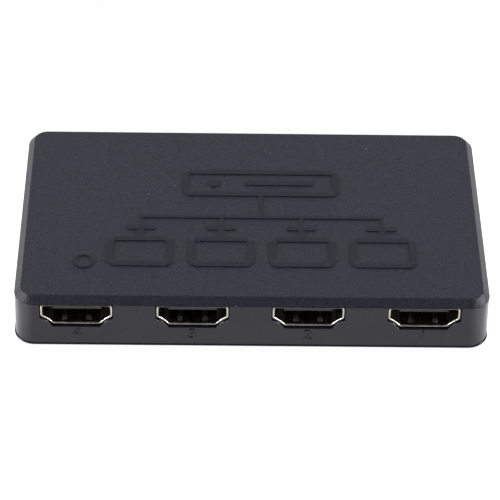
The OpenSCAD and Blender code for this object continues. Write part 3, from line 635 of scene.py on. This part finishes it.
def standPath(bm, path, height, closed=False):
    foot = [bm.verts.new((x, y, boardTop - boardLook["sink"])) for x, y in path]
    pairs = list(zip(foot, foot[1:])) + ([(foot[-1], foot[0])] if closed else [])
    grown = bmesh.ops.extrude_edge_only(bm, edges=[bm.edges.new(pair) for pair in pairs])["geom"]
    bmesh.ops.translate(bm, vec=(0, 0, boardLook["sink"] + height), verts=vertsIn(grown))


def finishPaths(bm, name, width, material):
    bmesh.ops.recalc_face_normals(bm, faces=bm.faces)
    piece = finishPiece(bm, name, material, "base", smooth=False)
    broad = piece.modifiers.new("lineWidth", "SOLIDIFY")
    broad.thickness = width * mm
    broad.offset = 0
    broad.use_even_offset = True


lineLook = {
    "fine": 0.15, "wide": 0.9, "broad": 2.4, "lane": 0.25, "rise": 0.0004, "riseSteps": 40,
    "resistorEnd": 0.6, "jog": 0.25, "jogFrom": 14.9, "jogTo": 15.2,
    "nearLeads": (0.25, 0.75, 1.25, 2.25, 3.25, 3.75), "nearLane": -10.25, "nearTurn": 0.12, "leadTurn": 0.8,
    "farLane": -8.75, "farTurn": 0.3, "chipSideX": 8.0,
    "inputLeads": (-2.25, -1.25, -0.25, 0.25, 1.25, 2.25), "inputFrom": 10.6, "inputTurn": 10.2,
    "memoryLeads": (3.75, 3.25, 2.25, 1.25), "memoryFrom": 2.6, "memoryLane": 7.4, "memoryTurn": 0.4,
    "crystalFrom": 1.5, "crystalRuns": ((1.0, -10.0, 0.75), (0.0, -9.0, 0.25)),  # start, turn and lead
    "jackX": 1.0, "jackFrom": 16.3, "regulatorEnd": 3.0, "coilLane": 3.4, "coilIn": 2.4, "coilOut": 2.0,
    "chipTurn": 2.4, "chipTurnX": 8.2, "lampFrom": 21.0, "lampLane": 9.5, "lampTurn": 2.5, "lampEnd": 2.0,
}


def boardLines():
    b, t = boardLook, lineLook
    fine, wide, broad = bmesh.new(), bmesh.new(), bmesh.new()
    chipFoot, sideX = b["chipFoot"], t["chipSideX"]

    def line(path, bm=fine):
        # each line is a hair taller than the one before, so that no two tops share a plane
        standPath(bm, path, b["copper"] + t["rise"] * (len(bm.faces) % t["riseSteps"]))

    # outputs 2 and 3 reach the chip's near side, outputs 1 and 4 its ends
    for side, near, far in ((1, "output_2", "output_1"), (-1, "output_3", "output_4")):
        fromY = mouths[near][1] + b["resistorY"] + t["resistorEnd"]
        for k, lead in enumerate(t["nearLeads"]):
            x = side * mouths[near][0] + b["resistorX"][k]
            lane = t["nearLane"] + t["lane"] * k
            path = [(x, fromY), (x, lane - t["nearTurn"]), (x - t["nearTurn"], lane),
                    (lead + t["leadTurn"], lane), (lead, lane + t["leadTurn"]), (lead, -chipFoot)]
            line([(side * px, py) for px, py in path])
            x = side * mouths[far][0] + b["resistorX"][k]
            lane = t["farLane"] + t["lane"] * k
            leadY = -t["nearLeads"][-1 - k]
            path = [(x, fromY), (x, lane - t["farTurn"]), (x - t["farTurn"], lane), (sideX + leadY - lane, lane),
                    (sideX, leadY), (chipFoot, leadY)]
            line([(side * px, py) for px, py in path])

    # from each socket's feet to its resistors, and from the input's resistors to the chip
    for x0, y0, facing in mouths.values():
        for x in b["resistorX"]:
            footX = x + math.copysign(t["jog"], x)
            path = [(footX, b["feetY"]), (footX, t["jogFrom"]), (x, t["jogTo"]),
                    (x, b["resistorY"] - t["resistorEnd"])]
            line([(x0 + facing * px, y0 + facing * py) for px, py in path])
    for x, lead in zip(b["resistorX"], t["inputLeads"]):
        line([(x, t["inputFrom"]), (x, t["inputTurn"]), (lead, t["inputTurn"] - abs(x - lead)), (lead, chipFoot)])

    # memory and crystal to the chip's left end
    for k, leadY in enumerate(t["memoryLeads"]):
        x = memoryX + (k - 1.5) * b["memoryPitch"]
        lane = t["memoryLane"] - t["lane"] * k
        line([(x, memoryY + t["memoryFrom"]), (x, lane - t["memoryTurn"]), (x + t["memoryTurn"], lane),
              (leadY - lane - sideX, lane), (-sideX, leadY), (-chipFoot, leadY)])
    for fromY, turnX, leadY in t["crystalRuns"]:
        line([(crystalX + t["crystalFrom"], fromY), (turnX, fromY), (turnX + t["lane"], leadY),
              (-chipFoot, leadY)])

    # supply, on wider copper
    tabY, coilY = powerY + t["regulatorEnd"], powerY - t["coilLane"]
    jackX, coilInX = powerX + t["jackX"], coilX + t["coilIn"]
    line([(jackX, t["jackFrom"]), (jackX, tabY)], broad)
    line([(powerX, powerY - t["regulatorEnd"]), (powerX, tabY - b["rowStep"])], broad)
    line([(powerX - b["regulatorPitch"], coilY), (coilInX, coilY), (coilInX, powerY)], wide)
    line([(coilX - t["coilOut"], powerY), (canX, powerY)], broad)
    line([(canX, powerY), (canX, powerY - b["rowStep"])], broad)
    line([(canX, powerY), (t["chipTurnX"] + t["chipTurn"], powerY), (t["chipTurnX"], powerY - t["chipTurn"]),
          (chipFoot, powerY - t["chipTurn"])], wide)
    line([(lampX, t["lampFrom"]), (lampX, t["lampLane"] + t["lampTurn"]), (lampX + t["lampTurn"], t["lampLane"]),
          (powerX - t["lampEnd"], t["lampLane"]), (powerX, tabY)])
    for bm, name, width in ((fine, "boardLines", "fine"), (wide, "boardWideLines", "wide"),
                            (broad, "boardSupplyLines", "broad")):
        finishPaths(bm, name, t[width], maskedCopper)


# Pads: width and depth of each kind, and how far it lies from the middle of its part
padLook = {
    "foot": (0.3, 1.6), "footPitch": 0.5, "feet": 19, "chipEnd": (0.66, 0.56), "chipEndY": 0.7,
    "surge": (0.32, 0.5), "surgeX": 2.5, "surgePitch": 0.62, "surgeY": 0.55,
    "leg": (1.5, 2.3), "legSolder": (1.1, 1.9),
    "lead": (0.3, 1.0), "leads": 16, "leadPitch": 0.5, "leadY": 5.95, "capX": (-3.3, -1.1, 1.1, 3.3), "capY": 6.7,
    "memory": (0.6, 1.1), "memoryY": 2.8, "tab": (3.4, 1.6), "regulator": (1.1, 1.6), "regulatorY": 3.1,
    "can": (1.6, 1.5), "canY": 2.5, "coil": (1.3, 3.2), "coilX": 2.3, "lamp": (1.1, 1.7), "lampX": 1.5,
    "jackSolder": (1.8, 1.6), "jackIn": 0.3, "fillet": 0.4, "filletEase": 0.12, "filletTop": (0.4, 0.7),
    "viaD": 0.7, "viaHole": 0.34, "viaEdge": 0.03, "viaFloor": 0.004, "viaSteps": 16,
    "viaFields": ((range(-40, -9, 5), (9.4, 14.2, 19.0, 23.8)), ((9, 13, 17, 21), (11.4, 16.2))),
}


def pad(bm, x, y, size):
    copper, sink = boardLook["copper"], boardLook["sink"]
    block = bmesh.ops.create_cube(bm, size=1)["verts"]
    bmesh.ops.scale(bm, vec=(*size, copper + sink), verts=block)
    bmesh.ops.translate(bm, vec=(x, y, boardTop + (copper - sink) / 2), verts=block)


def solderFillet(bm, x, y, size):
    tall = padLook["fillet"]
    block = bmesh.ops.create_cube(bm, size=1)["verts"]
    bmesh.ops.scale(bm, vec=(*size, tall), verts=block)
    bmesh.ops.translate(bm, vec=(x, y, boardTop + tall / 2), verts=block)
    topW, topD = padLook["filletTop"]
    for v in block:
        if v.co.z > boardTop + tall / 2:
            v.co.x, v.co.y = x + (v.co.x - x) * topW, y + (v.co.y - y) * topD
    ease(bm, list({e for v in block for e in v.link_edges}), padLook["filletEase"], 2, clamp=True)


def via(bm, x, y):
    p, copper = padLook, boardLook["copper"]
    ring = bmesh.ops.create_cone(bm, cap_ends=True, segments=p["viaSteps"], radius1=p["viaD"] / 2,
                                 radius2=p["viaD"] / 2 - p["viaEdge"], depth=copper)["verts"]
    bmesh.ops.translate(bm, vec=(x, y, boardTop + copper / 2), verts=ring)
    top = max({f for v in ring for f in v.link_faces}, key=lambda f: f.calc_center_median().z)
    bmesh.ops.inset_region(bm, faces=[top], thickness=(p["viaD"] - p["viaHole"]) / 2 - p["viaEdge"],
                           use_even_offset=True)
    bmesh.ops.translate(bm, vec=(0, 0, p["viaFloor"] - copper), verts=top.verts)


def boardPads():
    b, p = boardLook, padLook
    bm = bmesh.new()

    def row(count, pitch):
        return [(i - (count - 1) / 2) * pitch for i in range(count)]

    # behind each mouth: contact feet, resistors, surge arrays and the shell's legs
    for x0, y0, facing in mouths.values():
        for x in row(p["feet"], p["footPitch"]):
            pad(bm, x0 + x, y0 + facing * b["feetY"], p["foot"])
        for x in b["resistorX"]:
            for end in (-1, 1):
                pad(bm, x0 + facing * x, y0 + facing * (b["resistorY"] + end * p["chipEndY"]), p["chipEnd"])
        for middle in (-p["surgeX"], p["surgeX"]):
            for x in row(4, p["surgePitch"]):
                for end in (-1, 1):
                    pad(bm, x0 + middle + x, y0 + facing * (b["surgeY"] + end * p["surgeY"]), p["surge"])
        for side in (-1, 1):
            for y in shellLook["legPlaces"]:
                pad(bm, x0 + side * legX, y0 + facing * y, p["leg"])
                solderFillet(bm, x0 + side * legX, y0 + facing * y, p["legSolder"])

    # round the splitter chip: its leads, and small capacitors along each side
    for turn in (0, 1, 2, 3):
        spin = Matrix.Rotation(turn * math.pi / 2, 2)
        step = -1 if turn % 2 else 1  # sizes are swapped on the two ends
        for x in row(p["leads"], p["leadPitch"]):
            pad(bm, *(spin @ Vector((x, p["leadY"]))), p["lead"][::step])
        for x in p["capX"]:
            for end in (-1, 1):
                pad(bm, *(spin @ Vector((x + end * p["chipEndY"], p["capY"]))), p["chipEnd"][::-step])

    # memory, regulators, cans, coil, lamp and jack
    for x in row(4, b["memoryPitch"]):
        for side in (-1, 1):
            pad(bm, memoryX + x, memoryY + side * p["memoryY"], p["memory"])
    for y in (powerY, powerY - b["rowStep"]):
        pad(bm, powerX, y + p["regulatorY"], p["tab"])
        for x in row(3, b["regulatorPitch"]):
            pad(bm, powerX + x, y - p["regulatorY"], p["regulator"])
        for side in (-1, 1):
            pad(bm, canX, y + side * p["canY"], p["can"])
    for side in (-1, 1):
        pad(bm, coilX + side * p["coilX"], powerY, p["coil"])
        pad(bm, lampX + side * p["lampX"], lampY, p["lamp"])
    for node in ("jack_pin", "jack_terminal"):
        low, high = boxMm(node)
        solderFillet(bm, (low.x + high.x) / 2, low.y + p["jackIn"], p["jackSolder"])
    for places, rows in p["viaFields"]:
        for x in places:
            for y in rows:
                via(bm, x, y)
    bmesh.ops.recalc_face_normals(bm, faces=bm.faces)
    evenNormals(finishPiece(bm, "boardPads", brightTin, "base"))


legendLook = {
    "width": 0.16, "socketY": 8.0, "socket": (16.6, 11.6), "regulator": (7.4, 4.2), "can": (6.2, 6.2),
    "spare": {"memory_chip": 1.0, "crystal": 0.9, "power_coil": 0.9, "power_led": 1.6}, "jackSpare": 0.4,
    "corner": 5.7, "cornerFrom": 4.6, "firstLead": ((-6.8, -5.2), (-6.4, -5.2)),
}


def boardLegend():
    p, ink = legendLook, boardLook["ink"]
    bm = bmesh.new()

    def frameRound(x, y, w, d):
        w, d = w / 2, d / 2
        standPath(bm, [(x - w, y - d), (x + w, y - d), (x + w, y + d), (x - w, y + d)], ink, True)

    for x0, y0, facing in mouths.values():
        frameRound(x0, y0 + facing * p["socketY"], *p["socket"])
    for node, spare in p["spare"].items():
        x, y, w, d = partSpot(node)
        frameRound(x, y, w + spare, d + spare)
    low, high = boxMm("jack_housing")
    left, right, near = low.x - p["jackSpare"], high.x + p["jackSpare"], low.y - p["jackSpare"]
    edge = boxMm("circuit_board")[1].y - p["jackSpare"]
    standPath(bm, [(left, edge), (left, near), (right, near), (right, edge)], ink)
    for y in (powerY, powerY - boardLook["rowStep"]):
        frameRound(powerX, y, *p["regulator"])
        frameRound(canX, y, *p["can"])

    # corners of the splitter chip, and a dash at its first lead
    out, start = p["corner"], p["cornerFrom"]
    for x in (-1, 1):
        for y in (-1, 1):
            standPath(bm, [(x * out, y * start), (x * out, y * out), (x * start, y * out)], ink)
    standPath(bm, p["firstLead"], ink)
    finishPaths(bm, "boardLegend", p["width"], printedInk)


boardLines()
boardPads()
boardLegend()
print("board detail made")


# Finishes of the CAD nodes that show as they are
finishes = {
    "circuit_board": maskedBoard, "jack_pin": brightTin, "jack_leaf": springBronze,
    "jack_terminal": brightTin, "splitter_chip_leads": brightTin, "memory_chip_leads": brightTin,
    "regulator_leads": brightTin, "surge_arrays": chipEpoxy, "capacitor_bases": chipEpoxy,
    "chip_capacitors": firedCeramic, "chip_resistors": chipEpoxy, "chip_end_caps": brightTin,
}
for name, material in finishes.items():
    giveFinish(name, material)
print("finishes given:", len(finishes))


# Studio, in metres: white floor and surround, dim towards the camera, a soft lamp overhead,
# and pairs of lamps beside and behind for the slanting edges of the cover
studio = {
    "horizon": "#ffffff", "high": "#9fa2af", "highAt": 0.8, "dim": 0.04, "dimFrom": 0.35, "dimTo": 0.95,
    "floorSize": 6.0, "floorDrop": 0.00002, "floorPaint": "#f3f3f3", "floorGlow": "#ffffff", "floorShown": 0.95,
    "brightFrom": 0.046, "brightTo": 0.055, "brightEnd": 0.08, "bright": 1.8,
    "topSize": 0.6, "topPlace": (0, 0.08, 0.8), "topWatts": 0.9,
    "sideSize": 0.2, "sidePlace": (0.54, -0.1, 0.22), "sideWatts": 2.7,
    "rimSize": 0.3, "rimPlace": (0.5, 0.42, 0.14), "rimWatts": 0.2,
}
# Camera, in millimetres and degrees, with its near clip in metres
view = {"lens": 168.46, "sensor": 36.0, "distance": 507.92, "elevation": 41.5613, "azimuth": -1.2492,
        "roll": 1.3719, "right": -0.1362, "up": 1.1714, "clip": 0.01}


def cameraAxes():
    e, a, r = (math.radians(view[k]) for k in ("elevation", "azimuth", "roll"))
    back = Vector((math.sin(a) * math.cos(e), -math.cos(a) * math.cos(e), math.sin(e)))
    right = Vector((0, 0, 1)).cross(back).normalized()
    up = back.cross(right)
    return (math.cos(r) * right + math.sin(r) * up, math.cos(r) * up - math.sin(r) * right, back)


def shownRays(tree):
    paths = addNode(tree, "ShaderNodeLightPath")
    some = addNode(tree, "ShaderNodeMath", {
        0: paths.outputs["Is Camera Ray"], 1: paths.outputs["Is Glossy Ray"]}, operation="MAXIMUM")
    return addNode(tree, "ShaderNodeMath", {
        0: some.outputs[0], 1: paths.outputs["Is Transmission Ray"]}, operation="MAXIMUM").outputs[0]


def studioWorld(back):
    world = bpy.data.worlds.new("whiteStudio")
    scene.world = world
    world.use_nodes = True
    tree = world.node_tree
    tree.nodes.clear()
    ray = addNode(tree, "ShaderNodeTexCoord").outputs["Generated"]
    height = addNode(tree, "ShaderNodeSeparateXYZ", {"Vector": ray}).outputs["Z"]
    rise = addNode(tree, "ShaderNodeValToRGB", {"Fac": height})
    rise.color_ramp.elements[0].color = linear(studio["horizon"])
    rise.color_ramp.elements[1].position = studio["highAt"]
    rise.color_ramp.elements[1].color = linear(studio["high"])
    towards = addNode(tree, "ShaderNodeVectorMath", {0: ray, 1: back}, operation="DOT_PRODUCT")
    dim = addNode(tree, "ShaderNodeMapRange", {
        "Value": towards.outputs["Value"], "From Min": studio["dimFrom"], "From Max": studio["dimTo"],
        "To Min": 1.0, "To Max": studio["dim"]}, interpolation_type="SMOOTHSTEP")
    light = addNode(tree, "ShaderNodeBackground", {
        "Color": rise.outputs["Color"], "Strength": dim.outputs["Result"]})
    addNode(tree, "ShaderNodeOutputWorld", {"Surface": light.outputs["Background"]})


# Painted sweep: even white to the eye, with a faint shadow under the case; close beside the case it glows
# brighter than white, painted light that shows in reflections
def whiteSweep():
    material = bpy.data.materials.new("whiteSweep")
    material.use_nodes = True
    tree = material.node_tree
    tree.nodes.clear()
    paint = addNode(tree, "ShaderNodeBsdfDiffuse", {"Color": linear(studio["floorPaint"])})
    place = addNode(tree, "ShaderNodeTexCoord").outputs["Object"]
    across = addNode(tree, "ShaderNodeSeparateXYZ", {"Vector": place}).outputs["X"]
    beside = addNode(tree, "ShaderNodeMath", {0: across}, operation="ABSOLUTE")
    # overexposed close beside the case, which lights its upright corners
    rise = addNode(tree, "ShaderNodeMapRange", {
        "Value": beside.outputs[0], "From Min": studio["brightFrom"], "From Max": studio["brightTo"],
        "To Min": 1.0, "To Max": studio["bright"]})
    fall = addNode(tree, "ShaderNodeMapRange", {
        "Value": beside.outputs[0], "From Min": studio["brightTo"], "From Max": studio["brightEnd"],
        "To Min": 1.0, "To Max": 1 / studio["bright"]})
    strength = addNode(tree, "ShaderNodeMath", {
        0: rise.outputs["Result"], 1: fall.outputs["Result"]}, operation="MULTIPLY")
    glow = addNode(tree, "ShaderNodeEmission", {
        "Color": linear(studio["floorGlow"]), "Strength": strength.outputs[0]})
    share = addNode(tree, "ShaderNodeMath", {0: shownRays(tree), 1: studio["floorShown"]}, operation="MULTIPLY")
    both = addNode(tree, "ShaderNodeMixShader", {
        0: share.outputs[0], 1: paint.outputs["BSDF"], 2: glow.outputs["Emission"]})
    addNode(tree, "ShaderNodeOutputMaterial", {"Surface": both.outputs["Shader"]})
    return material


def studioFloor():
    bm = bmesh.new()
    sheet = bmesh.ops.create_grid(bm, x_segments=1, y_segments=1, size=studio["floorSize"] / 2)["verts"]
    bmesh.ops.translate(bm, vec=(0, 0, -studio["floorDrop"]), verts=sheet)
    mesh = bpy.data.meshes.new("studioFloor")
    bm.to_mesh(mesh)
    bm.free()
    mesh.materials.append(whiteSweep())
    floor = bpy.data.objects.new("studioFloor", mesh)
    scene.collection.objects.link(floor)


def softbox(name, size, watts, place):
    lamp = bpy.data.lights.new(name, "AREA")
    lamp.size = size
    lamp.energy = watts
    holder = bpy.data.objects.new(name, lamp)
    holder.location = place
    holder.rotation_euler = Vector(place).to_track_quat("Z", "Y").to_euler()  # shines at the origin
    scene.collection.objects.link(holder)


def photoCamera(right, up, back):
    camera = bpy.data.objects.new("photoCamera", bpy.data.cameras.new("photoCamera"))
    camera.data.lens = view["lens"]
    camera.data.sensor_width = view["sensor"]
    camera.data.clip_start = view["clip"]
    spot = (right * view["right"] + up * view["up"] + back * view["distance"]) * mm
    camera.matrix_world = Matrix.Translation(spot) @ Matrix((right, up, back)).transposed().to_4x4()
    scene.collection.objects.link(camera)
    scene.camera = camera


axes = cameraAxes()
studioWorld(axes[2])
studioFloor()
softbox("overheadSoftbox", studio["topSize"], studio["topWatts"], studio["topPlace"])
for lamp in ("side", "rim"):
    x, y, z = studio[lamp + "Place"]
    for end, side in (("Left", -1), ("Right", 1)):
        softbox(lamp + end, studio[lamp + "Size"], studio[lamp + "Watts"], (side * x, y, z))
photoCamera(*axes)
scene.view_settings.view_transform = "Standard"
print("studio made")
